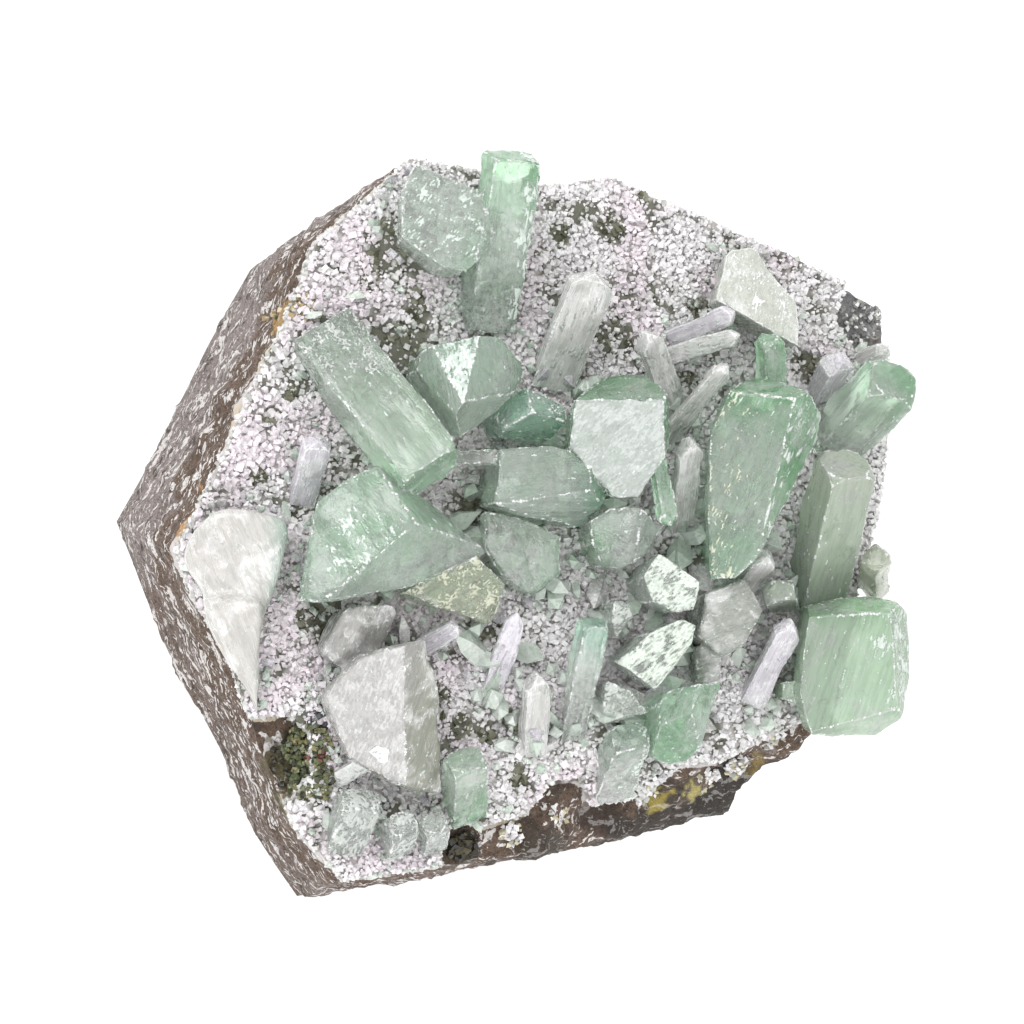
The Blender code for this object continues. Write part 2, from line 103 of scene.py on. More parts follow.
class Graph:
    """Short calls for a material's node graph."""

    def __init__(self, name, **settings):
        self.material = bpy.data.materials.new(name)
        self.material.use_nodes = True
        self.tree = self.material.node_tree
        self.shader = self.tree.nodes["Principled BSDF"]
        for socket, value in settings.items():
            self.shader.inputs[socket.replace("_", " ")].default_value = value

    def node(self, kind, inputs=(), **settings):
        made = self.tree.nodes.new("ShaderNode" + kind)
        for name, value in settings.items():
            setattr(made, name, value)
        for key, value in dict(inputs).items():
            if isinstance(value, bpy.types.NodeSocket):
                self.tree.links.new(value, made.inputs[key])
            else:
                made.inputs[key].default_value = value
        return made

    def place(self):
        """Position in millimetres."""
        where = self.node("TexCoord").outputs["Object"]
        return self.scaled(where, (TO_MM, TO_MM, TO_MM))

    def own(self, name, output="Vector"):
        return self.node("Attribute", attribute_name=name).outputs[output]

    def scaled(self, vector, scale):
        return self.node("VectorMath", {0: vector, 1: scale}, operation="MULTIPLY").outputs[0]

    def noise(self, vector, scale, detail=3.0, roughness=0.55, distortion=0.0):
        inputs = {
            "Vector": vector, "Scale": scale, "Detail": detail,
            "Roughness": roughness, "Distortion": distortion,
        }
        return self.node("TexNoise", inputs).outputs[0]

    def band(self, value, low, high, to_low=0.0, to_high=1.0):
        inputs = {0: value, 1: low, 2: high, 3: to_low, 4: to_high}
        return self.node("MapRange", inputs, interpolation_type="SMOOTHSTEP").outputs[0]

    def math(self, operation, first, second=0.0, third=0.0):
        return self.node("Math", {0: first, 1: second, 2: third}, operation=operation).outputs[0]

    def mix(self, share, first, second, blend_type="MIX"):
        mixer = self.node("Mix", {0: share}, data_type="RGBA", blend_type=blend_type)
        for index, value in ((6, first), (7, second)):
            if isinstance(value, bpy.types.NodeSocket):
                self.tree.links.new(value, mixer.inputs[index])
            else:
                mixer.inputs[index].default_value = (*value, 1.0)
        return mixer.outputs[2]

    def shade(self, colour, share):
        """The colour times a grey."""
        grey = self.node("CombineColor", {0: share, 1: share, 2: share}).outputs[0]
        return self.mix(1.0, colour, grey, "MULTIPLY")

    def bump(self, height, depth, strength=1.0):
        """depth in millimetres."""
        inputs = {"Height": height, "Distance": depth * MM, "Strength": strength}
        return self.node("Bump", inputs).outputs[0]

    def set(self, **sockets):
        for name, value in sockets.items():
            self.tree.links.new(value, self.shader.inputs[name.replace("_", " ")])

    def absorb(self, colour, density):
        volume = self.node("VolumeAbsorption")
        volume.inputs["Color"].default_value = (*colour, 1.0)
        volume.inputs["Density"].default_value = density
        self.tree.links.new(volume.outputs[0], self.tree.nodes["Material Output"].inputs["Volume"])


# ---- surfaces cut fine ----


def inside_ring(places, ring):
    """Which places (n, 2) lie inside the ring (m, 2), and how far each is from it."""
    first, second = ring, np.roll(ring, -1, axis=0)
    x, y = places[:, :1], places[:, 1:]
    rises = (first[:, 1] > y) != (second[:, 1] > y)
    with np.errstate(divide="ignore", invalid="ignore"):
        reach = (second[:, 0] - first[:, 0]) * (y - first[:, 1]) / (second[:, 1] - first[:, 1]) + first[:, 0]
    within = (rises & (x < reach)).sum(axis=1) % 2 == 1
    side = second - first
    length = (side ** 2).sum(axis=1) + 1e-12
    along = ((places[:, None] - first) * side).sum(axis=2) / length
    nearest = first + np.clip(along, 0, 1)[..., None] * side
    gap = np.sqrt(((places[:, None] - nearest) ** 2).sum(axis=2).min(axis=1))
    return within, gap


class Fine:
    """A solid's facets cut into small even triangles, in millimetres.

    points: places; normals: the way each point looks; ridge: whether it is on a fold; triangles;
    facet and crystal: for each triangle, its facet and the convex crystal that it belongs to.
    """

    def __init__(self, mesh, cell, coarse=None, flat=1.0):
        solid = bmesh.new()
        solid.from_mesh(mesh)
        bmesh.ops.scale(solid, vec=(TO_MM, TO_MM, TO_MM), verts=solid.verts)
        bmesh.ops.remove_doubles(solid, verts=solid.verts, dist=0.002)
        if flat:
            bmesh.ops.dissolve_limit(
                solid, angle_limit=math.radians(flat), verts=solid.verts, edges=solid.edges
            )
        solid.normal_update()
        for items in (solid.verts, solid.edges, solid.faces):
            items.index_update()
        self.crystal_of = self.grown_as_one(solid)
        self.points = [vert.co.copy() for vert in solid.verts]
        self.normals = [vert.normal.copy() for vert in solid.verts]
        self.facet_normals = [face.normal.copy() for face in solid.faces]
        self.facet_centres = [face.calc_center_median() for face in solid.faces]
        self.triangles, self.facet = [], []
        self.ridge = [any(self.folds(edge) for edge in vert.link_edges) for vert in solid.verts]
        self.split_edges(solid, cell, coarse)
        random = np.random.default_rng(11)
        for face in solid.faces:
            self.fill(face, cell, coarse, random)
        self.crystal = [self.crystal_of[index] for index in self.facet]
        self.ridge += [False] * (len(self.points) - len(self.ridge))
        solid.free()

    @staticmethod
    def folds(edge):
        return len(edge.link_faces) != 2 or edge.calc_face_angle() > math.radians(FOLD)

    def grown_as_one(self, solid):
        """The faces of each convex crystal, parted from the next at the folds between them."""
        crystal = {}
        for start in solid.faces:
            if start.index in crystal:
                continue
            number = len(set(crystal.values()))
            crystal[start.index] = number
            spread = [start]
            while spread:
                face = spread.pop()
                for edge in face.edges:
                    if len(edge.link_faces) != 2 or edge.calc_face_angle_signed() < -0.03:
                        continue
                    for beside in edge.link_faces:
                        if beside.index not in crystal:
                            crystal[beside.index] = number
                            spread.append(beside)
        return crystal

    def split_edges(self, solid, cell, coarse):
        self.along = {}
        for edge in solid.edges:
            spacing = cell
            if coarse and all(coarse(face.normal, face.calc_center_median()) for face in edge.link_faces):
                spacing = cell * COARSER
            steps = max(1, round(edge.calc_length() / spacing))
            first, second = edge.verts
            between = []
            for step in range(1, steps):
                share = step / steps
                between.append(len(self.points))
                self.points.append(first.co.lerp(second.co, share))
                self.ridge.append(self.folds(edge))
                looks = sum((face.normal for face in edge.link_faces), Vector())
                self.normals.append(looks.normalized())
            self.along[edge.index] = between

    def fill(self, face, cell, coarse, random):
        ring = []
        for loop in face.loops:
            ring.append(loop.vert.index)
            between = self.along[loop.edge.index]
            ring += between if loop.edge.verts[0] == loop.vert else between[::-1]
        centre, looks = face.calc_center_median(), face.normal
        across = looks.orthogonal().normalized()
        upward = looks.cross(across)
        flat = [((self.points[i] - centre).dot(across), (self.points[i] - centre).dot(upward)) for i in ring]
        edge = np.array(flat)
        inner = np.empty((0, 2))
        if not (coarse and coarse(looks, centre)):
            low, high = edge.min(axis=0), edge.max(axis=0)
            columns = np.arange(low[0] + cell / 2, high[0], cell)
            rows = np.arange(low[1] + cell / 2, high[1], cell * ROW)
            grid = np.array([(x + cell * 0.5 * (k % 2), y) for k, y in enumerate(rows) for x in columns])
            if len(grid):
                grid = grid + random.uniform(-0.22, 0.22, grid.shape) * cell
                within, gap = inside_ring(grid, edge)
                inner = grid[within & (gap > cell * 0.45)]

        def add(x, y):
            self.points.append(centre + across * x + upward * y)
            self.normals.append(looks.copy())
            return len(self.points) - 1

        index = ring + [add(x, y) for x, y in inner]
        spots = [Vector(spot) for spot in (*flat, *inner)]
        places, _, triangles, origins, _, _ = delaunay_2d_cdt(spots, [], [list(range(len(ring)))], 1, 1e-6)
        placed = [index[known[0]] if known else add(*spot) for spot, known in zip(places, origins)]
        for corners in triangles:
            self.triangles.append([placed[i] for i in corners])
            self.facet.append(face.index)


def in_scene(name, data):
    ob = bpy.data.objects.new(name, data)
    bpy.context.scene.collection.objects.link(ob)
    return ob


def new_object(name, points, faces, material, sharp=0):
    """A mesh from places in millimetres, shaded flat, or smooth up to folds of sharp degrees."""
    mesh = bpy.data.meshes.new(name)
    mesh.from_pydata([point * MM for point in points], [], faces)
    if sharp:
        mesh.shade_smooth()
        mesh.set_sharp_from_angle(angle=math.radians(sharp))
    mesh.materials.append(material)
    return in_scene(name, mesh)


def surface_of(*nodes):
    """A tree for finding the height of these CAD nodes under a place."""
    points, faces = [], []
    for node in nodes:
        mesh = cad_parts[node].data
        start = len(points)
        points += [vert.co * TO_MM for vert in mesh.vertices]
        faces += [[start + i for i in face.vertices] for face in mesh.polygons]
    return BVHTree.FromPolygons(points, faces)


def ground_at(tree, x, y):
    """The surface's place straight under x, y, or None."""
    return tree.ray_cast(Vector((x, y, RAY_TOP)), -UP)[0]


VECTOR, COLOUR, SHARE = ("FLOAT_VECTOR", "vector"), ("FLOAT_COLOR", "color"), ("FLOAT", "value")
ATTRIBUTES = {"grain": VECTOR, "tint": COLOUR, "paint": COLOUR, "edge": SHARE, "rim": SHARE}


def write(mesh, domain, **attributes):
    """Attributes that the material reads, with a value for each point or corner of the mesh."""
    for name, values in attributes.items():
        kind, field = ATTRIBUTES[name]
        mesh.attributes.new(name, kind, domain).data.foreach_set(field, np.ravel(values))


# ---- where a look applies: each gives a share from a place and the way the surface looks ----


def wander(place):
    """How far a boundary strays here."""
    return noise.noise(place * 0.9) * 1.3 + noise.noise(place * 2.7) * 0.5


def past(x, y, compass, soft=1.0):
    """Beyond a line through x, y, on the side that the compass direction points to."""
    east, north = math.cos(math.radians(compass)), math.sin(math.radians(compass))

    def share(place, looks):
        return smooth_step(-soft, soft, (place.x - x) * east + (place.y - y) * north + wander(place))
    return share


def spot(x, y, reach, soft=1.0):
    def share(place, looks):
        away = math.hypot(place.x - x, place.y - y) + wander(place)
        return 1 - smooth_step(reach - soft, reach + soft, away)
    return share


def facet(compass, slope, spread=9):
    """The facet that looks in the compass direction at that slope from level."""
    flat, tilt = math.radians(compass), math.radians(slope)
    way = Vector((math.sin(tilt) * math.cos(flat), math.sin(tilt) * math.sin(flat), math.cos(tilt)))
    limit = math.cos(math.radians(spread))
    return lambda place, looks: 1.0 if looks.dot(way) > limit else 0.0


def both(first, second):
    return lambda place, looks: first(place, looks) * second(place, looks)


def outside(where):
    return lambda place, looks: 1.0 - where(place, looks)


def upper(place, looks):
    return smooth_step(0.15, 0.4, looks.z)


# ---- crystals ----

MINT = srgb(206, 237, 212)
DEEP = srgb(170, 222, 178)
CAP = srgb(148, 204, 155)
BLUE_GREEN = srgb(196, 234, 214)
MILK = srgb(226, 238, 227)
SMOKE = srgb(212, 228, 212)
WATER = srgb(240, 248, 241)
YELLOWISH = srgb(232, 241, 214)
INNER = srgb(168, 184, 166)
PEARL_TINT = seen(246, 245, 242)
CREAM = seen(242, 239, 233)
LILAC = seen(246, 240, 250)
# BRIGHT, SATIN, GLINT, LILAC_WHITE, MINT_WHITE and YELLOW_WHITE colour the white skins and edges: painted
# highlights, glints and sheen, partly white etching
BRIGHT = seen(252, 254, 252)
SATIN = seen(208, 213, 208)
GLINT = seen(226, 238, 229)
PEARL_INNER = seen(204, 203, 198)
LILAC_WHITE = seen(238, 233, 242)
MINT_WHITE = seen(228, 238, 226)
YELLOW_WHITE = seen(226, 230, 206)


def lay_out(axis):
    """Rotation into a crystal's own frame, its long axis along Z."""
    along = Vector(axis).normalized()
    side = along.cross(UP)
    side = side.normalized() if side.length > 0.05 else Vector((1, 0, 0))
    return Matrix((side, along.cross(side), along))


def faces_down(looks, centre):
    return looks.z < DOWNWARD


class Crystal:
    """How one crystal of a node looks.

    seed: a place in it; axis: along its grain; tint: body colour; zones: (where, colour), one on top of
    the other; frost: (where, coverage, colour, speckle) of its white skin, partly painted
    highlights, glints and sheen and partly white etching, speckle being how short its gaps are along the
    grain; teeth: (where, depth) of its saw-toothed edges; rough: growth relief; chips: rubbed, chipped edges;
    soft: how round its edges are; worn: how little of its edges carries a painted highlight,
    -1 to 1; glint_marks: how few painted glint streaks it has, 0 to 1.
    """

    def __init__(
        self, seed, axis, tint, zones=(), frost=(), teeth=(),
        rough=0.07, chips=0.12, soft=1, worn=0.14, glint_marks=0.6,
    ):
        self.seed = Vector(seed)
        self.frame = lay_out(axis)
        self.tint, self.zones, self.frost, self.teeth = tint, zones, frost, teeth
        self.rough, self.chips, self.soft = rough, chips, soft
        self.worn, self.glint_marks = worn, glint_marks

    def colour(self, place, looks):
        tint = self.tint
        for where, paint in self.zones:
            tint = blend(tint, paint, where(place, looks))
        return tint

    def relief(self, place):
        """Growth steps along the crystal, low hillocks on its faces and a slight sway of the whole."""
        own = self.frame @ place
        lines = noise.noise(Vector((own.x * 1.7, own.y * 1.7, own.z * 0.14)))
        steps = round(5 * noise.noise(Vector((own.x * 0.45, own.y * 0.45, own.z * 0.11)))) / 5
        lumps = noise.noise(own * 0.8) + 0.5 * noise.noise(own * 1.9)
        return self.rough * (0.8 * lines + 2.4 * steps + lumps) + 0.5 * noise.noise(own * 0.17)

    def bite(self, place, looks):
        """How deep an edge is rubbed down, chipped or toothed."""
        depth = 0.06 + max(0.0, noise.noise(place * 1.3) + 0.1) * self.chips * 3.0
        for where, tooth in self.teeth:
            share = where(place, looks)
            if share > 0.05:
                uneven = 0.5 + noise.noise(place * 3.3) * 1.3 + noise.noise(place * 1.1) * 0.6
                depth += share * tooth * uneven
        return depth


def soften(places, triangles, rounds):
    """Rounds the folds: each point moves towards the middle of its neighbours, as often as rounds says."""
    spots = np.array(places)
    rows = np.array(triangles)
    first = np.concatenate([rows[:, [0, 1, 2]].ravel(), rows[:, [1, 2, 0]].ravel()])
    second = np.concatenate([rows[:, [1, 2, 0]].ravel(), rows[:, [0, 1, 2]].ravel()])
    count = np.maximum(np.bincount(first, minlength=len(spots)), 1)
    for number in range(max(rounds)):
        sums = [np.bincount(first, spots[second, k], len(spots)) for k in range(3)]
        middle = np.stack(sums, axis=1) / count[:, None]
        moving = np.array(rounds) > number
        spots[moving] += 0.5 * (middle - spots)[moving]
    return [Vector(spot_of) for spot_of in spots]


def dress_crystal(node, material, *crystals):
    fine = Fine(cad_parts[node].data, CRYSTAL_CELL, coarse=faces_down)
    middle = {}
    for number in sorted(set(fine.crystal)):
        own = [fine.facet_centres[f] for f, n in fine.crystal_of.items() if n == number]
        middle[number] = sum(own, Vector()) / len(own)
    look_of = {n: min(crystals, key=lambda c: (c.seed - spot_of).length) for n, spot_of in middle.items()}
    of_point = {}
    for triangle, number in zip(fine.triangles, fine.crystal):
        for index in triangle:
            of_point.setdefault(index, look_of[number])
    places, buried = [], {}
    for index, (point, looks) in enumerate(zip(fine.points, fine.normals)):
        look = of_point.get(index, crystals[0])
        moved = point + looks * look.relief(point)
        if fine.ridge[index]:
            moved -= looks * look.bite(point, looks)
        ground = ground_at(GROUND, point.x, point.y)
        if ground is not None and point.z - ground.z < GROUNDED:
            buried[index] = ground.z - EMBEDDED
        places.append(moved)
    rounds = [of_point.get(index, crystals[0]).soft for index in range(len(places))]
    places = soften(places, fine.triangles, rounds)
    for index, depth in buried.items():
        places[index].z = depth
    ob = new_object(node + "_look", places, fine.triangles, material, sharp=38)
    count = len(fine.triangles)
    grain = np.zeros((count, 3, 3), dtype=np.float32)
    tint = np.ones((count, 3, 4), dtype=np.float32)
    edge = np.zeros((count, 3), dtype=np.float32)
    known = {}
    for row, (triangle, number, face) in enumerate(zip(fine.triangles, fine.crystal, fine.facet)):
        look, looks = look_of[number], fine.facet_normals[face]
        for corner, index in enumerate(triangle):
            key = (index, face)
            if key not in known:
                known[key] = (look.frame @ fine.points[index], look.colour(fine.points[index], looks))
            grain[row, corner] = known[key][0]
            tint[row, corner, :3] = known[key][1]
            # points on a fold carry the painted edge highlight, unless the crystal has too few highlighted
            # edges
            edge[row, corner] = fine.ridge[index] and look.worn < EDGELESS
    write(ob.data, "CORNER", grain=grain, tint=tint, edge=edge)
    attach(ob, "root")
    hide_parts(node)
    grow_skin(node, fine, places, look_of)


def white_skin(fine, look, corners, middle, own, looks):
    """Colour of a crystal's white skin here, or None: painted edge highlights, painted glints, sheen and
    etching.
    """
    first, second = corners[0]
    # painted highlight along the crystal's edges
    if first == second and fine.ridge[first] and noise.noise(middle * 1.4) > look.worn:
        return BRIGHT
    # painted glint streaks along the grain
    if noise.noise(Vector((own.x * 3.4, own.y * 3.4, own.z * 0.8))) > look.glint_marks:
        return GLINT
    # white skin on chosen faces: painted glints and sheen, partly white etching
    for where, coverage, colour, speckle in look.frost:
        share = where(middle, looks) * coverage
        if share > 0.02:
            level = 0.5 + 0.8 * noise.noise(Vector((own.x * 3.6, own.y * 3.6, own.z * 3.6 * speckle)))
            if level + 0.7 * noise.noise(own * 0.55) < share:
                return colour
    return None


def grow_skin(node, fine, places, look_of):
    """The crystal's white skin, partly painted highlights, glints and sheen and partly white etching: thin
    closed sheets that stand just proud of it.
    """
    points, index_of, faces, grain, tint = [], {}, [], [], []

    def midpoint(first, second):
        key = (min(first, second), max(first, second))
        if key not in index_of:
            index_of[key] = len(points)
            looks = (fine.normals[first] + fine.normals[second]).normalized()
            points.append((places[first] + places[second]) / 2 + looks * ETCH_AND_SHEEN_LIFT)
        return index_of[key]

    for triangle, number, face in zip(fine.triangles, fine.crystal, fine.facet):
        look, looks = look_of[number], fine.facet_normals[face]
        if looks.z < -0.3:
            continue
        a, b, c = triangle
        for corners in (((a, a), (a, b), (a, c)), ((b, b), (b, c), (a, b)),
                        ((c, c), (a, c), (b, c)), ((a, b), (b, c), (a, c))):
            middle = sum((fine.points[i] + fine.points[j] for i, j in corners), Vector()) / 6
            colour = white_skin(fine, look, corners, middle, look.frame @ middle, looks)
            if colour is not None:
                faces.append([midpoint(i, j) for i, j in corners])
                for i, j in corners:
                    grain.append(look.frame @ ((fine.points[i] + fine.points[j]) / 2))
                    tint.append((*colour, 1.0))
    if not faces:
        return
    ob = new_object(node + "_frost", points, faces, ETCH_AND_SHEEN, sharp=40)
    write(ob.data, "CORNER", grain=np.array(grain, dtype=np.float32), tint=np.array(tint, dtype=np.float32))
    skin = ob.modifiers.new("skin", "SOLIDIFY")
    skin.thickness = ETCH_AND_SHEEN_THICKNESS * MM
    skin.offset = -1.0
    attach(ob, "root")
    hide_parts(node)


def crystal_material(name, transmission, roughness, absorb=None, density=0.0, level=1.0, inner=INNER):
    """Glassy mineral: milky clouds, dim blotches, growth lines, bright flaws and a painted highlight along
    its edges.
    """
    g = Graph(name, Transmission_Weight=transmission, IOR=1.535)
    own = g.own("grain")
    # where the painted edge highlight lies
    worn = g.band(g.own("edge", "Fac"), 0.45, 1.0)
    fine = g.noise(own, 2.8, 1.5, 0.65)
    clouds = g.noise(own, 0.24, 3.0, 0.62, 0.8)
    blotches = g.noise(g.scaled(own, (0.55, 0.55, 0.32)), 1.0, 3.0, 0.7, 0.7)
    lines = g.noise(g.scaled(own, (1.9, 1.9, 0.17)), 1.0, 2.0, 0.6)
    colour = g.mix(g.band(clouds, 0.46, 0.7, 0.0, 0.5), g.own("tint", "Color"), (level, level, level))
    dim = g.math("MULTIPLY", g.band(blotches, 0.45, 0.31, 0.0, 0.65), g.band(fine, 0.6, 0.42, 0.1, 1.0))
    colour = g.mix(dim, colour, inner)
    colour = g.shade(colour, g.band(lines, 0.36, 0.6, 0.88 * level, 1.05 * level))
    flaw = g.noise(g.scaled(own, (0.7, 0.7, 0.3)), 1.0, 2.0, 0.6, 1.0)
    crack = g.band(g.math("ABSOLUTE", g.math("SUBTRACT", flaw, 0.5)), 0.002, 0.014, 1.0, 0.0)
    crack = g.math("MULTIPLY", crack, g.band(clouds, 0.42, 0.58, 0.1, 0.75))
    # the white of the cracks, and the painted highlight along the edges
    bright = g.math("MAXIMUM", crack, g.math("MULTIPLY", worn, 0.6))
    colour = g.mix(bright, colour, (level, level, level))
    g.set(Base_Color=colour)
    g.set(Roughness=g.band(lines, 0.3, 0.7, roughness * 0.6, roughness * 1.6))
    height = g.math("MULTIPLY_ADD", lines, 2.0, fine)
    g.set(Normal=g.bump(height, 0.055, 0.7))
    if density:
        g.absorb(absorb, density)
    return g.material


def frost_material():
    """White skin, partly painted sheen and glints and partly etching, satin with fine striae."""
    g = Graph("frost_look", IOR=1.5)
    own = g.own("grain")
    striae = g.noise(g.scaled(own, (1.8, 1.8, 0.35)), 1.0, 2.0, 0.6)
    grainy = g.noise(g.scaled(own, (4.0, 4.0, 2.0)), 1.0, 2.0, 0.65)
    colour = g.shade(g.own("tint", "Color"), g.band(striae, 0.34, 0.6, 0.86, 1.0))
    colour = g.shade(colour, g.band(grainy, 0.36, 0.6, 0.9, 1.05))
    g.set(Base_Color=colour, Roughness=g.band(grainy, 0.3, 0.7, 0.2, 0.5))
    g.set(Normal=g.bump(grainy, 0.06, 0.8))
    return g.material


GREEN_GLASS = srgb(200, 238, 206)
CLEAR_GLASS = srgb(226, 240, 228)
GREEN = crystal_material("apophyllite_green_look", 0.83, 0.09, GREEN_GLASS, 30.0)
CLOUDY = crystal_material("apophyllite_cloudy_look", 0.55, 0.12, GREEN_GLASS, 30.0, level=0.66)
SMALL = crystal_material("apophyllite_small_look", 0.4, 0.12, level=0.9)
CLEAR = crystal_material("apophyllite_clear_look", 0.86, 0.08, CLEAR_GLASS, 15.0)
PEARLY = crystal_material("stilbite_look", 0.3, 0.22, level=0.95, inner=PEARL_INNER)
ETCH_AND_SHEEN = frost_material()

GROUND = surface_of("druse_crust", "basalt_matrix")


def satin(where, streaks, between, speckle):
    """Painted sheen on a face that is white all over: brighter streaks on duller white."""
    return [(where, 0.42, streaks, speckle), (where, 2.0, between, speckle)]


# White skins set on a facet() are painted glints and sheen on faces that catch the lights; the others are
# partly painted sheen and partly white etching.
APOPHYLLITE = {  # node: its material and its crystals
    "top_pair": (
        GREEN,
        Crystal((-16, 41, 42), (0.5, 0.7, 0.1), WATER, [(past(-15, 38, -40, 3), MINT)],
                # painted glints on the facet facing right and on the upper faces
                [(facet(5, 42), 0.2, GLINT, 0.5), (upper, 0.12, GLINT, 0.3)],
                [(past(-12, 38, 0, 1), 0.7)]),
        Crystal((-9, 40, 40), (0, 1, 0.25), MILK,
                [(past(-9, 42, 90, 2.5), MINT), (past(-9, 47, 90, 1), DEEP)],
                # painted glint on the strip beyond a line
                [(past(-7.2, 38, 0, 0.3), 0.5, GLINT, 0.2)],
                [(past(-9, 46, 90, 1), 0.8)], rough=0.09),
    ),
    "left_group": (
        GREEN,
        Crystal((-26, 0, 44), (0.6, -0.8, 0.2), MINT, [(past(-24, -3, -60, 3), WATER)],
                # painted glint on the upper-left facet
                [(both(facet(160, 34), spot(-31, -3, 4, 2)), 0.22, GLINT, 0.4)],
                [(both(past(-33, -6, -120, 1.5), past(-24, -7, 180, 2)), 0.8)]),
        Crystal((-27, 16, 41), (0.5, -0.8, 0.4), SMOKE, [(past(-23, 8, -60, 4), MINT)],
                [(past(-29, 20, 120, 4), 0.25, SATIN, 0.8)]),
        Crystal((-15, -9, 38), (0.8, 0.5, 0), YELLOWISH, (), [(upper, 0.3, YELLOW_WHITE, 0.9)]),
    ),
    "star_face": (
        GREEN,
        Crystal((-14, 19, 44), (0.2, -1, 0.2), srgb(214, 240, 220),
                [(past(-13, 17, -100, 4), MILK), (both(past(-9, 20, 10, 2), past(-12, 18, 60, 2)), MINT)],
                # the white skin on its upper-left facet is partly its white star and partly a painted glint
                [(facet(145, 41), 0.36, BRIGHT, 0.4), (facet(145, 41), 0.7, seen(204, 222, 210), 0.3)],
                [(past(-9.5, 20, 20, 1), 0.8)]),
    ),
    "blue_point": (
        GREEN,
        # painted glint on one facet
        Crystal((-6, 15, 40), (1, 0.4, 0), BLUE_GREEN, (), [(facet(60, 36), 0.12, BRIGHT, 0.6)]),
    ),
    "centre_group": (
        GREEN,
        Crystal((4, 13, 44), (0.5, 0.8, 0.2), MINT,
                [(past(4, 17.5, 95, 1.0), CAP), (past(9.5, 14, 15, 1.2), CAP)],
                # painted satin sheen on its lower-left face
                satin(both(facet(-115, 33), outside(past(3.5, 17.6, 95, 0.8))),
                      seen(206, 212, 207), seen(184, 192, 186), 0.2),
                [(past(4, 17, 90, 1), 0.7)]),
        Crystal((-4, 6, 41), (1, 0.1, 0), MILK, [(past(0, 6, 0, 2.5), srgb(174, 218, 190))],
                (), [(past(2, 6, 0, 1), 0.8)]),
        Crystal((12, 5, 42), (0, -1, 0.2), MINT, [(past(12, 2, -90, 2), DEEP)]),
        Crystal((-13, 9.5, 41), (1, 0, 0.2), PEARL_TINT),
    ),
    "low_green": (CLEAR, Crystal((-6, -3, 38), (0.3, -1, 0), SMOKE, [(past(-4, -4, -30, 3), MINT)])),
    "round_tip": (
        CLEAR,
        Crystal((7, -2, 41), (0.3, -1, 0.2), MILK, [(both(past(5, -2, 180, 2), past(6, 0, -90, 3)), DEEP)]),
    ),
    "large_green": (
        GREEN,
        Crystal((26, 8, 44), (0.4, 0.9, 0.2), MILK,
                [(past(26, 14, 75, 3.5), DEEP), (past(31, 15, 60, 2), CAP), (facet(-30, 36), DEEP),
                 (past(24, 0, -90, 3), MINT)],
                # painted glint on the right facet, and a painted yellow-white highlight on the left facet
                [(facet(-30, 36), 0.16, GLINT, 0.2),
                 (both(facet(-165, 35), past(21.5, 8, 180, 2)), 0.14, YELLOW_WHITE, 0.2)],
                rough=0.09),
        Crystal((29, 24, 44), (-0.2, 1, 0.5), MINT, [(past(29, 25, 90, 1.5), DEEP)], (), [(upper, 0.4)]),
    ),
    "right_tower": (CLEAR, Crystal((45, 18, 42), (0.1, 0.5, 1), MILK, [(past(46, 19, 40, 3), DEEP)])),
    "right_group": (
        CLOUDY,
        Crystal((37, -4, 38), (-0.1, 1, 0.8), srgb(214, 231, 208),
                [(past(39, 6, 90, 5), srgb(224, 232, 214))], glint_marks=0.66),
        Crystal((43, -18, 39), (0.3, 1, 0.1), srgb(200, 226, 198),
                [(past(43, -12, 90, 2), srgb(168, 208, 168)), (past(50, -16, 0, 1.5), srgb(176, 212, 176))],
                # painted glints on the facet facing right and on a low facet
                [(facet(0, 43), 0.3, GLINT, 0.3),
                 (both(facet(-130, 7), past(45, -17, 20, 2)), 0.24, GLINT, 0.25)],
                [(past(43, -11, 90, 1), 0.7)], glint_marks=0.66),
    ),
    "yellow_block": (CLOUDY, Crystal((48, -5, 38), (-0.3, 0.4, 1), YELLOWISH, (), (), [(upper, 0.5)])),
    "clear_bar": (CLEAR, Crystal((3, -20, 38), (0, 1, 0.5), WATER, [(past(3, -17, 90, 3), BLUE_GREEN)])),
    "clear_block": (
        CLEAR,
        Crystal((10, -32, 36), (0, 1, 1), WATER, [(past(10, -30, 90, 3), MINT)],
                # painted glint on the upper faces
                [(both(upper, past(11, -31, 0, 1)), 0.4, GLINT, 0.6)]),
    ),
    "small_peak": (GREEN, Crystal((17, -27, 38), (0.3, 1, 0.2), MINT, [(facet(-105, 48), DEEP)])),
    "lower_green": (GREEN, Crystal((-13, -35, 37), (-0.2, 1, 1), SMOKE, [(past(-12, -36, -60, 2), DEEP)])),
}
for place, coverage in (("left", 0.5), ("middle", 0.45), ("right", 0.25)):
    APOPHYLLITE["rim_" + place] = (
        CLEAR,
        # white on the upper faces: partly painted sheen, partly etching
        Crystal((-24, -40, 36), (0, 0.7, 1), WATER, (), [(upper, coverage, SATIN, 0.25)]),
    )
for letter, coverage, colour, speckle in (
    ("a", 0.55, MINT_WHITE, 0.2), ("b", 0.6, MINT_WHITE, 0.2), ("c", 0.3, SATIN, 0.4), ("d", 0.3, SATIN, 0.4),
):
    APOPHYLLITE["shard_" + letter] = (
        CLEAR,
        Crystal((12, -12, 40), (0.7, 0.6, 0), WATER, (),
                # painted glints and sheen on the upper faces, in a bright and a duller tone
                [(upper, coverage, colour, speckle),
                 (upper, coverage * 1.5, seen(186, 196, 184), speckle)]),
    )

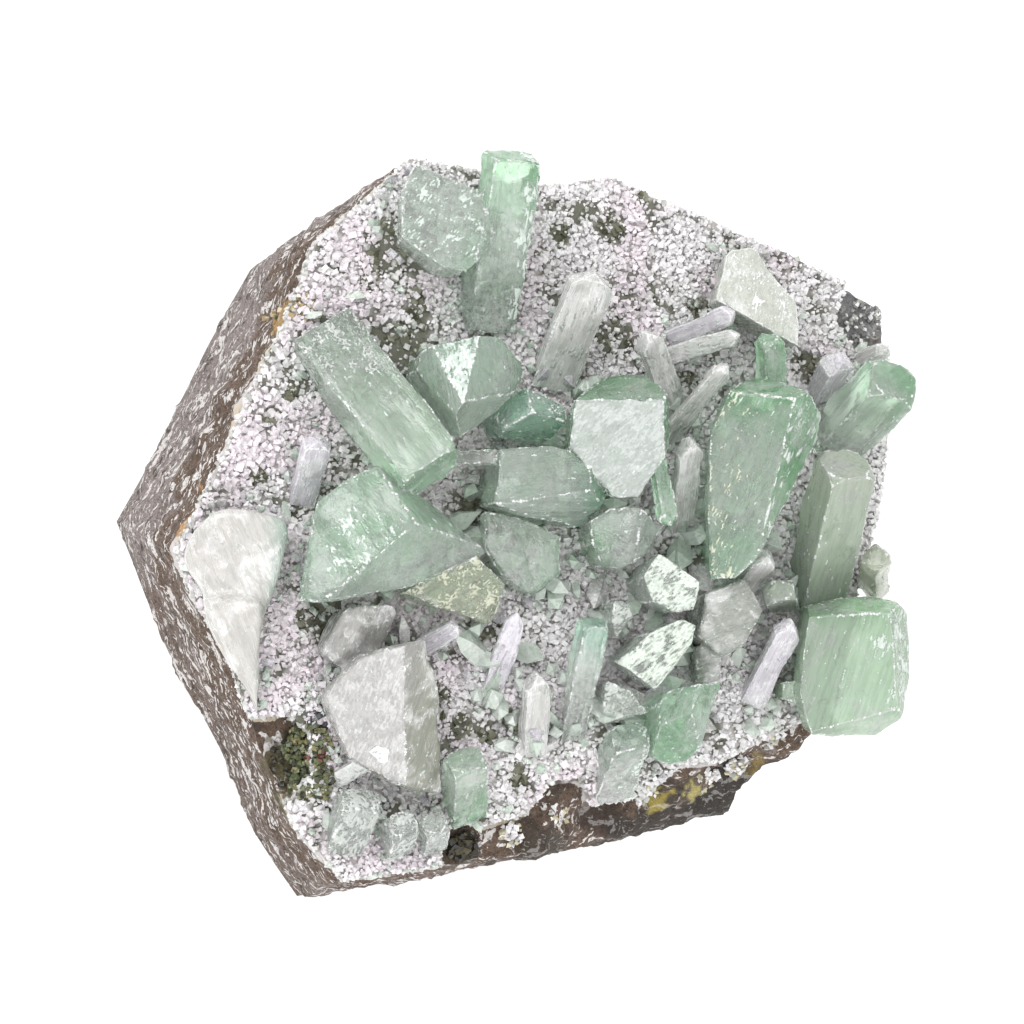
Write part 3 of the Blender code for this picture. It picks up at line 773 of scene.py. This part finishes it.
# White on the stilbite's upper faces is partly painted sheen and partly white etching; the sheaf's satin
# facet is painted sheen.
STILBITE = {
    "rim_mass": [
        Crystal((-46, -6, 37), (0.4, -1, 0), CREAM, [(past(-41, -4, 0, 2), seen(206, 224, 212))],
                rough=0.5, chips=0.5, soft=40, worn=0.6),
    ],
    "sheaf": [
        Crystal((-26, -25, 40), (0.3, 0.95, 0.1), seen(192, 190, 186),
                [(past(-24, -25, -15, 4), seen(172, 175, 160))],
                # painted satin sheen on the lower-left facet
                satin(facet(-150, 32), seen(214, 213, 211), seen(194, 192, 190), 0.06),
                rough=0.25, soft=9, worn=0.3),
        Crystal((-29, -14, 38), (0.8, 0.6, 0), PEARL_TINT, (), [(upper, 0.25, BRIGHT, 0.12)],
                rough=0.12, soft=3),
        Crystal((-28, -31, 40), (0.8, 0.4, 0.3), BRIGHT, (), [(upper, 0.8, BRIGHT, 0.15)], soft=2),
    ],
    "plate": [
        Crystal((28, 33, 40), (0.3, 1, 0), seen(236, 240, 228), (), [(upper, 0.2, BRIGHT, 0.2)], soft=2),
    ],
    "white_blocks": [Crystal((23, -13, 40), (1, 0.5, 0), seen(172, 178, 168), soft=3, worn=0.3)],
}
BLADE_AXES = {
    "top": (2.5, 14, 10), "left": (0, 8, 7), "across": (4, 3, 5), "pair_upper": (4, 2, 7),
    "pair_lower": (6.5, 2, 8), "middle": (-8, 10, 10), "behind": (3.6, 8, 11), "beside": (-3, 11, 12),
    "right_upper": (-1.4, 3.5, 9), "right_edge": (0, 1, 8), "under_green": (0.3, 5, 9),
    "lilac": (2, 11, 10), "cracked": (1, 10.5, 8), "pale": (-2, 10, 7),
}
LILAC_BLADES = ("left", "across", "pair_upper", "right_upper", "lilac", "cracked")
WHITER_BLADES = {"cracked": 0.85, "pair_lower": 0.55}
for place, axis in BLADE_AXES.items():
    tint, white = (LILAC, LILAC_WHITE) if place in LILAC_BLADES else (PEARL_TINT, SATIN)
    coverage = WHITER_BLADES.get(place, 0.1)
    # white on the blades' upper faces: partly painted sheen, partly white etching
    STILBITE["blade_" + place] = [
        Crystal((0, 0, 0), axis, tint, (), [(upper, coverage, white, 0.12)], soft=2),
    ]


# ---- rock ----

STAINED_AND_SHADED = [  # x, y, z, reach, colour; real stains, and along the lower front rim dark patches that are partly dark rock and partly painted shade
    (-48, 1, 31, 3.6, seen(214, 160, 96)),
    (-36, 28, 31.5, 3.4, seen(190, 154, 92)),
    (-46, -13, 31, 2.2, seen(84, 76, 64)),
    (-34.3, -31.9, 31, 5, seen(96, 92, 58)),
    (-33.3, -25.6, 32, 1.8, seen(92, 96, 98)),
    # dark patches along the lower front rim: partly dark rock, partly painted shade
    (9, -36, 26, 7.5, seen(66, 50, 40)),
    (-1, -41, 24, 7.5, seen(68, 58, 46)),
    (19, -39, 22, 8, seen(54, 46, 38)),
    (29, -35, 22, 7.5, seen(50, 46, 40)),
    (42, -30, 22, 8, seen(56, 52, 48)),
    (50, 33, 30, 7, seen(146, 148, 148)),
    (-12.5, -43, 31, 3, seen(70, 66, 48)),
    (18.7, -37.3, 27, 1.8, seen(176, 160, 70)),
    (20.6, -37, 24, 1.4, seen(216, 206, 150)),
    (24.2, -35.8, 27, 1.5, seen(196, 184, 112)),
    (26.4, -35.2, 24, 1.2, seen(228, 222, 190)),
    (33.9, -31.2, 27, 1.9, seen(150, 128, 70)),
]


def rock_material():
    """Grey-brown basalt with broken white vesicle streaks, dark seams, stains, painted shade under the lower
    front rim and a cream rim.
    """
    g = Graph("basalt_look", Roughness=0.8, IOR=1.5)
    place = g.place()
    grit = g.noise(place, 2.6, 4.0, 0.72)
    broad = g.noise(place, 0.09, 3.0, 0.6)
    seams = g.noise(g.scaled(place, (0.24, 0.24, 1.0)), 1.0, 5.0, 0.65, 0.8)
    streaks = g.noise(g.scaled(place, (0.26, 0.26, 1.0)), 1.0, 2.0, 0.6, 0.6)
    flecks = g.noise(g.scaled(place, (0.7, 0.7, 2.6)), 1.0, 2.0, 0.6, 0.5)
    _, north, height = g.node("SeparateXYZ", {0: place}).outputs
    low = g.band(g.math("ADD", height, g.band(broad, 0.3, 0.7, -7.0, 7.0)), 21.0, 13.0)
    low = g.math("MULTIPLY", low, g.band(north, -9.0, -1.0, 0.3, 1.0))
    colour = g.mix(low, seen(116, 94, 78), seen(158, 146, 142))
    colour = g.mix(g.band(seams, 0.48, 0.36, 0.0, 0.85), colour, seen(70, 58, 48))
    colour = g.mix(g.band(seams, 0.55, 0.66, 0.0, 0.7), colour, seen(170, 158, 154))
    colour = g.mix(g.band(grit, 0.52, 0.62, 0.0, 0.6), colour, seen(58, 50, 42))
    # the painted stains, which include painted shade under the lower front rim
    discolour_and_shade = g.own("paint", "Alpha")
    colour = g.mix(g.math("MULTIPLY", discolour_and_shade, 0.9), colour, g.own("paint", "Color"))
    colour = g.shade(colour, g.band(g.noise(place, 5.0, 2.0), 0.35, 0.65, 0.76, 1.22))
    light = g.math("MAXIMUM", g.band(streaks, 0.59, 0.61), g.band(flecks, 0.61, 0.63))
    light = g.math("MULTIPLY", light, g.band(grit, 0.62, 0.52, 0.2, 1.0))
    light = g.math("MULTIPLY", light, g.band(discolour_and_shade, 0.1, 0.7, 1.0, 0.3))
    colour = g.mix(light, colour, seen(252, 247, 244))
    rim = g.band(g.math("ADD", g.own("rim", "Fac"), g.math("MULTIPLY", grit, 0.5)), 0.76, 0.84)
    rim = g.math("MULTIPLY", rim, g.band(discolour_and_shade, 0.3, 0.9, 1.0, 0.25))
    colour = g.mix(rim, colour, g.mix(g.band(broad, 0.45, 0.55), seen(234, 220, 196), seen(234, 228, 226)))
    g.set(Base_Color=colour)
    g.set(Roughness=g.band(grit, 0.3, 0.7, 0.55, 0.95))
    g.set(Normal=g.bump(g.math("MULTIPLY_ADD", seams, 1.6, grit), 0.4, 1.0))
    return g.material


def dress_rock():
    def hidden(looks, centre):
        return looks.z < -0.9 or (looks.z > 0.7 and ground_at(CRUST, centre.x, centre.y) is not None)

    fine = Fine(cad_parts["basalt_matrix"].data, ROCK_CELL, coarse=hidden, flat=0.5)
    places = []
    paint = np.zeros((len(fine.points), 4), dtype=np.float32)
    rim = np.zeros(len(fine.points), dtype=np.float32)
    for index, (point, looks) in enumerate(zip(fine.points, fine.normals)):
        ragged = noise.fractal(point * 0.35, 0.8, 2.1, 4) * 0.55
        level = noise.noise(Vector((point.x * 0.12, point.y * 0.12, point.z * 0.5)) + Vector((7, 3, 1)))
        ragged += round(level * 5) / 5
        fade = smooth_step(0.0, 1.0, point.z)
        places.append(point + looks * ragged * fade)
        colour, share = (0.0, 0.0, 0.0), 0.0
        # stains, and along the lower front rim dark patches that are partly painted shade
        for x, y, z, reach, discolour_and_shade in STAINED_AND_SHADED:
            away = (point - Vector((x, y, z))).length
            if away < reach * 1.8:
                ragged_edge = 1.6 * wander(point) + 0.9 * wander(point * 2.3)
                away += ragged_edge + 0.8 * reach * noise.noise(point * 0.22)
                part = 1 - smooth_step(reach * 0.8, reach * 1.12, away)
                colour, share = blend(colour, discolour_and_shade, part / max(part, share, 1e-6)), max(share, part)
        paint[index] = (*colour, share)
        near = CRUST.find_nearest(point, 3.0)
        if near[0] is not None:
            rim[index] = 1 - smooth_step(0.2, 1.9, near[3])
    ob = new_object("basalt_look", places, fine.triangles, rock_material(), sharp=40)
    write(ob.data, "POINT", paint=paint, rim=rim)
    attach(ob, "root")
    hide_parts("basalt_matrix")


# ---- druse ----

DARK_PATCHES = [  # x, y, reach
    (-32.6, -11.7, 3.5), (18.8, -3.5, 3.0), (21.1, -16.1, 1.6), (-23, 39, 4), (-20.8, 24.9, 4.0),
    (9.2, 27.2, 3), (22.6, 32.1, 1.6), (1.5, 41.7, 1.6), (-0.7, 38.7, 1.0), (13.9, 47.3, 0.9),
    (-9.5, -27.9, 1.4), (-5.2, -25.9, 1.6), (-13.1, -26.5, 1.6), (-4.5, -33.4, 1.6), (21.3, 22.1, 1.0),
    (-28.9, 27.2, 1.6), (-35, 25, 1.5), (-40, 15, 1.4), (-37, 18, 1.2), (-41.5, 7, 1.2), (-20, 31, 2.0),
    (-26, 34, 1.5), (39.6, 24.9, 2.2), (-11.4, 3.2, 3.0), (-7.4, -14.9, 3), (-17.4, -23.1, 2.5), (9, 42.8, 2),
]
SPILLS = ((12, -34.8), (16.5, -36.3), (26, -34.3), (30.5, -32.4), (36, -29.2), (2.5, -39.2), (-5, -41.5))
GRAIN_WHITE = srgb(212, 210, 211)
GRAIN_LILAC = srgb(210, 202, 207)
GRAIN_GREY = seen(196, 198, 190)
OLIVE = seen(112, 112, 90)
OLIVES = [OLIVE, seen(146, 146, 128), seen(84, 86, 66)]
SIDE_GRAINS = 1.3  # to the square millimetre, on the crust's broken sides
BED_PALE = seen(220, 214, 214)
BED_DARK = seen(112, 112, 98)


def sparseness(x, y):
    """0 where the druse is dense and white, 1 where dark ground shows between grains."""
    open_ground = noise.noise(Vector((x, y, 0)) / 6.0) + noise.noise(Vector((x, y, 5)) / 1.8) * 0.9
    for patch_x, patch_y, reach in DARK_PATCHES:
        away = math.hypot(x - patch_x, y - patch_y) / reach
        open_ground += 0.9 * (1 - smooth_step(0.6, 1.4, away))
    open_ground -= 0.3 * (1 - smooth_step(0.6, 1.1, math.hypot((x - 18) / 30, (y + 2) / 26)))
    return min(max(0.16 + open_ground, 0.0), 1.0)


def druse_material(name, roughness, rough_bed=False):
    """Matt white to olive mineral; the bed between the grains is rougher than they are."""
    g = Graph(name, IOR=1.5)
    place = g.place()
    fine = g.noise(place, 1.9, 2.0, 0.7)
    colour = g.shade(g.own("tint", "Color"), g.band(fine, 0.36, 0.6, 0.8, 1.04))
    g.set(Base_Color=colour, Roughness=g.band(fine, 0.3, 0.7, roughness * 0.7, roughness * 1.4))
    if rough_bed:
        g.set(Normal=g.bump(g.noise(place, 3.0, 2.0, 0.6), 0.2, 0.8))
    return g.material


def dress_crust():
    fine = Fine(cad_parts["druse_crust"].data, CRUST_CELL, coarse=faces_down, flat=0)
    places = []
    tint = np.ones((len(fine.points), 4), dtype=np.float32)
    for index, (point, looks) in enumerate(zip(fine.points, fine.normals)):
        lumps = noise.fractal(point * 0.7, 0.9, 2.0, 3) * 0.45
        places.append(point + looks * lumps * (0.0 if looks.z < -0.5 else 1.0))
        tint[index, :3] = blend(BED_PALE, BED_DARK, smooth_step(0.15, 0.6, sparseness(point.x, point.y)))
    material = druse_material("druse_bed_look", 0.6, rough_bed=True)
    ob = new_object("druse_bed", places, fine.triangles, material, sharp=50)
    write(ob.data, "POINT", tint=tint)
    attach(ob, "root")
    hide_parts("druse_crust")


def rough_block():
    """Corners and sides of a plain block, for blocky grains."""
    corners = np.array([(x, y, z) for x in (-1, 1) for y in (-1, 1) for z in (-1, 1)]) * 0.66
    sides = [
        (0, 1, 3), (0, 3, 2), (4, 6, 7), (4, 7, 5), (0, 4, 5), (0, 5, 1),
        (2, 3, 7), (2, 7, 6), (0, 2, 6), (0, 6, 4), (1, 5, 7), (1, 7, 3),
    ]
    return corners, np.array(sides)


def scatter(name, shape, spots, sizes, tints, material, random, jitter, ways=None):
    """Joined grains: each one the shape, jittered, turned (its Z along ways, if given) and tinted."""
    corners, sides = shape
    count, around = len(spots), len(corners)
    turn = random.normal(size=(count, 2, 3))
    first = turn[:, 0] / np.linalg.norm(turn[:, 0], axis=1)[:, None]
    third = np.cross(first, turn[:, 1]) if ways is None else np.array(ways)
    third /= np.linalg.norm(third, axis=1)[:, None]
    second = np.cross(third, first)
    second /= np.linalg.norm(second, axis=1)[:, None]
    axes = np.stack([np.cross(second, third), second, third], axis=1)
    lumpy = corners * random.uniform(1 - jitter, 1 + jitter, (count, around, 1))
    points = np.einsum("nvk,nkj->nvj", lumpy * np.array(sizes)[:, None], axes) + np.array(spots)[:, None]
    colours = np.ones((count, around, 4), dtype=np.float32)
    colours[..., :3] = np.array(tints)[:, None]
    for number, start in enumerate(range(0, count, GRAINS_A_PIECE)):
        stop = min(start + GRAINS_A_PIECE, count)
        faces = (np.arange(stop - start)[:, None, None] * around + sides).reshape(-1, 3)
        label = f"{name}_{number + 1}" if count > GRAINS_A_PIECE else name
        ob = new_object(label, points[start:stop].reshape(-1, 3), faces.tolist(), material)
        write(ob.data, "POINT", tint=colours[start:stop])
        if ways is not None:
            write(ob.data, "POINT", grain=points[start:stop])
        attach(ob, "root")


def sow_grains(material):
    """The small blocky crystals of the druse, large and small, over the whole crust."""
    random = np.random.default_rng(5)
    low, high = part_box("druse_crust")
    spots, sizes, tints = [], [], []
    for step, smallest, largest, thin in ((0.86, 0.36, 0.62, 0.85), (0.66, 0.2, 0.36, 0.6)):
        for row, y in enumerate(np.arange(low[1] * TO_MM, high[1] * TO_MM, step * ROW)):
            for x in np.arange(low[0] * TO_MM + step * 0.5 * (row % 2), high[0] * TO_MM, step):
                px = x + random.uniform(-0.4, 0.4) * step
                py = y + random.uniform(-0.4, 0.4) * step
                draw = random.random()
                ground = ground_at(CRUST, px, py)
                if ground is None:
                    continue
                bare = sparseness(px, py)
                if draw < bare * thin:
                    continue
                leftward = smooth_step(-18, -42, px)
                coarse = 1.0 + 0.5 * leftward * max(0.0, noise.noise(Vector((px, py, 2)) / 4))
                size = (smallest + (largest - smallest) * random.random()) * coarse
                spots.append(ground + UP * (0.05 + 0.4 * (1 - bare) * random.random()))
                sizes.append(size * random.uniform(0.65, 1.3, 3))
                lilac = smooth_step(-0.15, 0.35, noise.noise(Vector((px, py, 8)) / 8) - 0.008 * px)
                tint = blend(GRAIN_WHITE, GRAIN_LILAC, lilac)
                tint = blend(tint, GRAIN_GREY, random.random() * (0.06 + 0.7 * bare))
                tints.append(tint)
    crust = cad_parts["druse_crust"].data
    for face in crust.polygons:
        if not -0.6 < face.normal.z < 0.75:
            continue
        first, second, third = (crust.vertices[i].co * TO_MM for i in face.vertices[:3])
        for _ in range(round(face.area * TO_MM ** 2 * SIDE_GRAINS + random.random())):
            across, along = sorted(random.random(2))
            spots.append(first * across + second * (along - across) + third * (1 - along))
            sizes.append(random.uniform(0.3, 0.62, 3))
            tints.append(blend(GRAIN_WHITE, GRAIN_GREY, random.random()))
    scatter("druse_grains", rough_block(), spots, sizes, tints, material, random, 0.3)


def sow_lumps(material):
    """Olive lumps between the grains, the coloured pockets and the white spill at the rim."""
    random = np.random.default_rng(9)
    spots, sizes, tints = [], [], []

    def cluster(x, y, reach, count, smallest, largest, colours, rise=0.0):
        for _ in range(count):
            turn, away = random.uniform(0, 2 * math.pi), reach * math.sqrt(random.random())
            px, py = x + away * math.cos(turn), y + away * math.sin(turn)
            ground = ground_at(GROUND, px, py)
            if ground is None:
                continue
            size = random.uniform(smallest, largest)
            spots.append(Vector((px, py, ground.z + rise * random.random() - size * 0.2)))
            sizes.append(size * random.uniform(0.7, 1.2, 3))
            tints.append(blend(colours[random.integers(len(colours))], colours[0], 0.3 * random.random()))

    for x, y, reach in DARK_PATCHES:
        cluster(x, y, reach * 1.1, round(6 + reach * 8), 0.35, 0.8, OLIVES)
    moss = [seen(112, 120, 84), seen(136, 134, 92), seen(98, 114, 82), seen(60, 58, 46), seen(158, 154, 112)]
    cluster(-34.3, -29.3, 2.9, 240, 0.2, 0.5, moss, 1.0)
    cluster(-33.8, -34.0, 2.9, 240, 0.2, 0.5, moss, 1.0)
    # nearly black lumps low among the olive ones: painted shade of the pocket's hollow
    cluster(-34.3, -31.5, 4.6, 70, 0.25, 0.5, [seen(44, 42, 36), seen(66, 64, 50)], 0.2)
    cluster(-33.2, -30.5, 1.2, 14, 0.3, 0.5, [seen(132, 76, 70), seen(88, 52, 48)], 1.6)
    cluster(-33.3, -25.8, 1.6, 30, 0.3, 0.6, [seen(84, 92, 98), seen(50, 54, 56), seen(150, 156, 160)], 0.4)
    golden = [seen(190, 166, 118), seen(226, 214, 184), seen(112, 106, 66)]
    cluster(-35.6, 29.5, 2.4, 80, 0.2, 0.5, golden, 0.3)
    cluster(-12.3, -43.2, 1.9, 50, 0.35, 0.75, [seen(52, 48, 34), seen(84, 74, 42), seen(34, 32, 28)], 0.3)
    cluster(49.5, 32, 3.0, 70, 0.2, 0.5, [GRAIN_GREY, GRAIN_WHITE, seen(110, 112, 112)], 0.2)
    spill = [GRAIN_WHITE, GRAIN_WHITE, GRAIN_GREY, seen(206, 196, 150)]
    for x, y in SPILLS:
        cluster(x, y, 1.7, 40, 0.25, 0.55, spill, 0.3)
    scatter("druse_lumps", rough_block(), spots, sizes, tints, material, random, 0.35)


def prism():
    """Corners and sides of a small four-sided crystal with a peaked end, standing on the ground."""
    square = ((-1, -1), (1, -1), (1, 1), (-1, 1))
    corners = [(x, y, z) for z in (-0.35, 0.7) for x, y in square] + [(0.2, -0.1, 1.1)]
    sides = [(0, 2, 1), (0, 3, 2)]
    for low, after in ((0, 1), (1, 2), (2, 3), (3, 0)):
        sides += [(low, after, after + 4), (low, after + 4, low + 4), (low + 4, after + 4, 8)]
    return np.array(corners), np.array(sides)


def sow_small_crystals():
    """Little glassy prisms and white splinters that fill the gaps at the feet of the large crystals."""
    random = np.random.default_rng(21)
    low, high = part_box("druse_crust")
    kinds = {"apophyllite": [], "stilbite": []}
    for _ in range(INFILL_TRIES):
        x, y = random.uniform(low[0], high[0]) * TO_MM, random.uniform(low[1], high[1]) * TO_MM
        draw, kind = random.random(), "stilbite" if random.random() < 0.25 else "apophyllite"
        lean = Vector(random.normal(size=3)) * 0.45
        among = 1 - smooth_step(0.7, 1.1, math.hypot((x - 8) / 34, (y + 6) / 30))
        large = random.random()
        width = 0.25 + (0.35 + 0.55 * among) * large ** 2 + 0.4 * among * large ** 9
        tall = min(width * random.uniform(2.0, 4.4), 5.0)
        shade = random.random()
        ground = ground_at(CRUST, x, y)
        if ground is None:
            continue
        beside = CRYSTALS.find_nearest(ground + UP, INFILL_REACH)
        if beside[0] is None or draw > 0.34 * (1 - beside[3] / INFILL_REACH) ** 2:
            continue
        away = ground + UP - beside[0]
        away.z = 0
        along = (UP + lean + away.normalized() * 0.5).normalized()
        colours = (SMOKE, WATER) if kind == "apophyllite" else (PEARL_TINT, LILAC)
        kinds[kind].append((ground, (width, width * 0.8, tall), along, blend(*colours, shade)))
    looks = (("apophyllite", SMALL, "apophyllite_clear"), ("stilbite", PEARLY, "stilbite"))
    for kind, material, slot in looks:
        spots, sizes, ways, tints = zip(*kinds[kind])
        scatter(kind + "_small", prism(), spots, sizes, tints, material, random, 0.12, ways)


# ---- studio ----


def aim(ob, place, target):
    turn = (place - target).to_track_quat("Z", "Y").to_matrix().to_4x4()
    ob.matrix_world = Matrix.Translation(place) @ turn


def soft_light(name, place, size, power):
    lamp = bpy.data.lights.new(name, "AREA")
    lamp.size = size
    lamp.energy = power
    aim(in_scene(name, lamp), Vector(place), Vector((0, 0, 0.03)))


def make_studio():
    scene = bpy.context.scene
    pale = Graph("floor_pale", Base_Color=(0.94, 0.94, 0.94, 1), Roughness=0.9).material
    bpy.ops.mesh.primitive_plane_add(size=3.0)
    floor = bpy.context.object
    floor.name = "floor"
    floor.data.materials.append(pale)
    world = bpy.data.worlds.new("studio")
    world.use_nodes = True
    world.node_tree.nodes["Background"].inputs["Color"].default_value = (1, 1, 1, 1)
    world.node_tree.nodes["Background"].inputs["Strength"].default_value = 1.45
    scene.world = world
    soft_light("key", (-0.42, 0.42, 0.5), 0.45, 3.0)
    soft_light("front", (-0.08, -0.5, 0.45), 0.4, 1.5)
    scene.view_settings.view_transform = "Standard"
    tilt, below = math.radians(VIEW_FROM_LEFT), math.radians(VIEW_FROM_BELOW)
    back = Vector((-math.sin(tilt) * math.cos(below), -math.sin(below), math.cos(tilt) * math.cos(below)))
    right = Vector((0, 1, 0)).cross(back).normalized()
    view = Matrix((right, back.cross(right), back)).transposed().to_4x4()
    view.translation = (LOOK_AT + back * VIEW_DISTANCE) * MM
    lens = bpy.data.cameras.new("camera")
    lens.lens, lens.sensor_width, lens.clip_start = 100, 36, 0.01
    scene.camera = in_scene("camera", lens)
    scene.camera.matrix_world = view


CRUST = surface_of("druse_crust")
CRYSTALS = surface_of(*(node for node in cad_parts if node.startswith(("apophyllite", "stilbite"))))
dress_rock()
dress_crust()
GRAIN_LOOK = druse_material("druse_grain_look", 0.4)
sow_grains(GRAIN_LOOK)
sow_lumps(GRAIN_LOOK)
sow_small_crystals()
for place, (material, *crystals) in APOPHYLLITE.items():
    dress_crystal("apophyllite_" + place, material, *crystals)
for place, crystals in STILBITE.items():
    dress_crystal("stilbite_" + place, PEARLY, *crystals)
make_studio()
